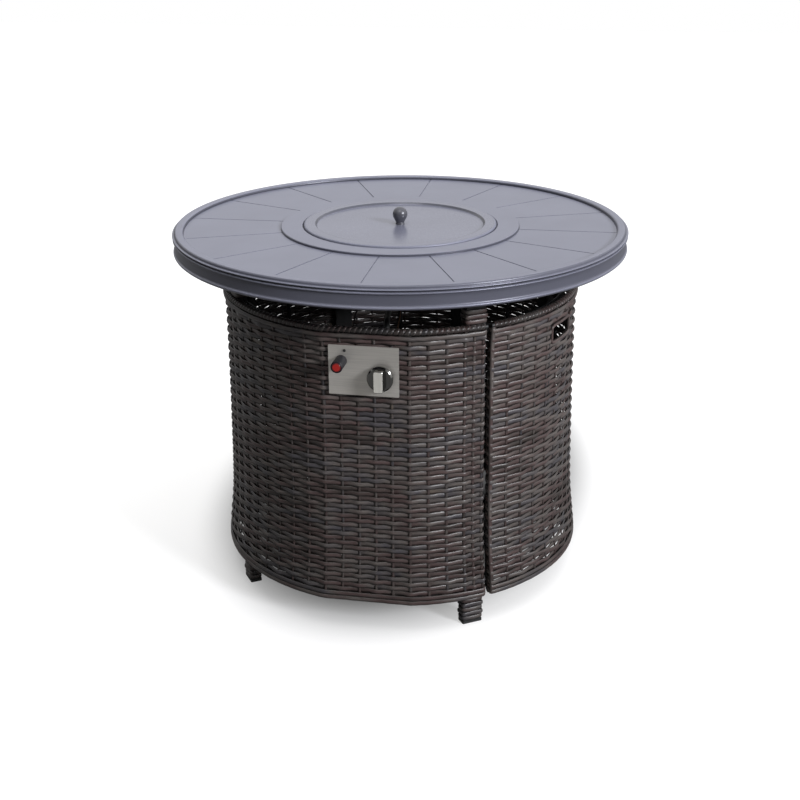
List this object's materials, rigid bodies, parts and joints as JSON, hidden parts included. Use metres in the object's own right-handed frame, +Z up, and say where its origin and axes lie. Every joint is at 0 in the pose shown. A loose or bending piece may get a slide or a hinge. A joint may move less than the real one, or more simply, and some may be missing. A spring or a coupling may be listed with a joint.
{
  "type": "gas fire pit table",
  "caption": "Round gas fire pit table: slatted metal top with a lift-out lid over a ring burner, woven cylindrical base with a lift-off tank door, gas knob and push igniter.",
  "frame": {"origin": "on the floor under the table's vertical axis", "axes": "+Z up, -Y square to the control plate at the front, +X to the right seen from the front; the tank door is on the right"},
  "size_m": [0.813, 0.8129, 0.6826],
  "materials": {
    "table_casting": "satin slate grey powder coat",
    "lid_metal": "satin slate grey powder coat",
    "knob_metal": "satin dark grey",
    "fastener_steel": "zinc plated",
    "frame_steel": "matt black powder coat",
    "woven_strand": "woven mixed brown resin strand",
    "foot_plastic": "matt black",
    "strike_steel": "bare",
    "magnet_block": "black magnet block",
    "plate_steel": "brushed stainless",
    "knob_chrome": "polished with a satin bar face",
    "valve_brass": "machined",
    "stem_steel": "machined",
    "igniter_black": "black",
    "button_red": "red",
    "burner_steel": "stainless, slightly heat marked",
    "feed_steel": "stainless tube",
    "ceramic": "white ceramic",
    "copper_tube": "copper",
    "lead_sleeve": "sleeved lead"
  },
  "bodies": {
    "table": {"burner": "burner_steel", "burner_pan": "burner_steel", "control_plate": "plate_steel", "cross_bar_front": "frame_steel", "cross_bar_rear": "frame_steel", "door_magnets": "magnet_block", "electrode": "ceramic", "feed_tube": "feed_steel", "foot_cap_front_left": "foot_plastic", "foot_cap_front_right": "foot_plastic", "foot_cap_rear_left": "foot_plastic", "foot_cap_rear_right": "foot_plastic", "frame_front": "frame_steel", "frame_left": "frame_steel", "frame_rear": "frame_steel", "igniter_barrel": "igniter_black", "igniter_body": "igniter_black", "igniter_lead": "lead_sleeve", "igniter_lock_nut": "fastener_steel", "igniter_spring": "fastener_steel", "inlet_fitting": "valve_brass", "leg_front_left": "frame_steel", "leg_front_right": "frame_steel", "leg_rear_left": "frame_steel", "leg_rear_right": "frame_steel", "leg_wrap_front_left": "woven_strand", "leg_wrap_front_right": "woven_strand", "leg_wrap_rear_left": "woven_strand", "leg_wrap_rear_right": "woven_strand", "lower_ring": "frame_steel", "mixer_elbow": "valve_brass", "pan_nut": "fastener_steel", "plate_screw": "fastener_steel", "sensor_bracket": "burner_steel", "table_top": "table_casting", "tank_tray": "frame_steel", "thermocouple": "copper_tube", "top_bolts": "fastener_steel", "top_bracket_front_left": "frame_steel", "top_bracket_front_right": "frame_steel", "top_bracket_rear_left": "frame_steel", "top_bracket_rear_right": "frame_steel", "upper_ring": "frame_steel", "valve_body": "valve_brass", "valve_screws": "fastener_steel", "wicker_front": "woven_strand", "wicker_left": "woven_strand", "wicker_rear": "woven_strand", "window_liner": "frame_steel"},
    "lid": {"lid": "lid_metal", "lid_knob": "knob_metal", "lid_knob_screw": "fastener_steel"},
    "door": {"door_frame": "frame_steel", "door_wicker": "woven_strand", "door_pegs": "frame_steel", "strike_plates": "strike_steel"},
    "igniter_button": {"igniter_button": "button_red"},
    "rotor": {"valve_rotor": "valve_brass"},
    "gas_knob": {"control_knob": "knob_chrome", "valve_stem": "stem_steel"}
  },
  "joints": [
    {"name": "lid_lift", "type": "slide", "parent": "table", "child": "lid", "axis": [0, 0, 1], "range_m": [0, 0.3]},
    {"name": "door_pull", "type": "slide", "parent": "table", "child": "door", "axis": [0.9816, -0.1908, 0], "range_m": [0, 0.35]},
    {"name": "igniter_push", "type": "slide", "parent": "table", "child": "igniter_button", "axis": [0, 1, 0], "range_m": [0, 0.004], "stiffness_N_per_m": 1000},
    {"name": "valve_turn", "type": "hinge", "parent": "table", "child": "rotor", "pos_m": [0.027, -0.3131, 0.4725], "axis": [0, -1, 0], "range_deg": [0, 210]},
    {"name": "knob_push", "type": "slide", "parent": "rotor", "child": "gas_knob", "axis": [0, 1, 0], "range_m": [0, 0.003], "stiffness_N_per_m": 1000}
  ]
}
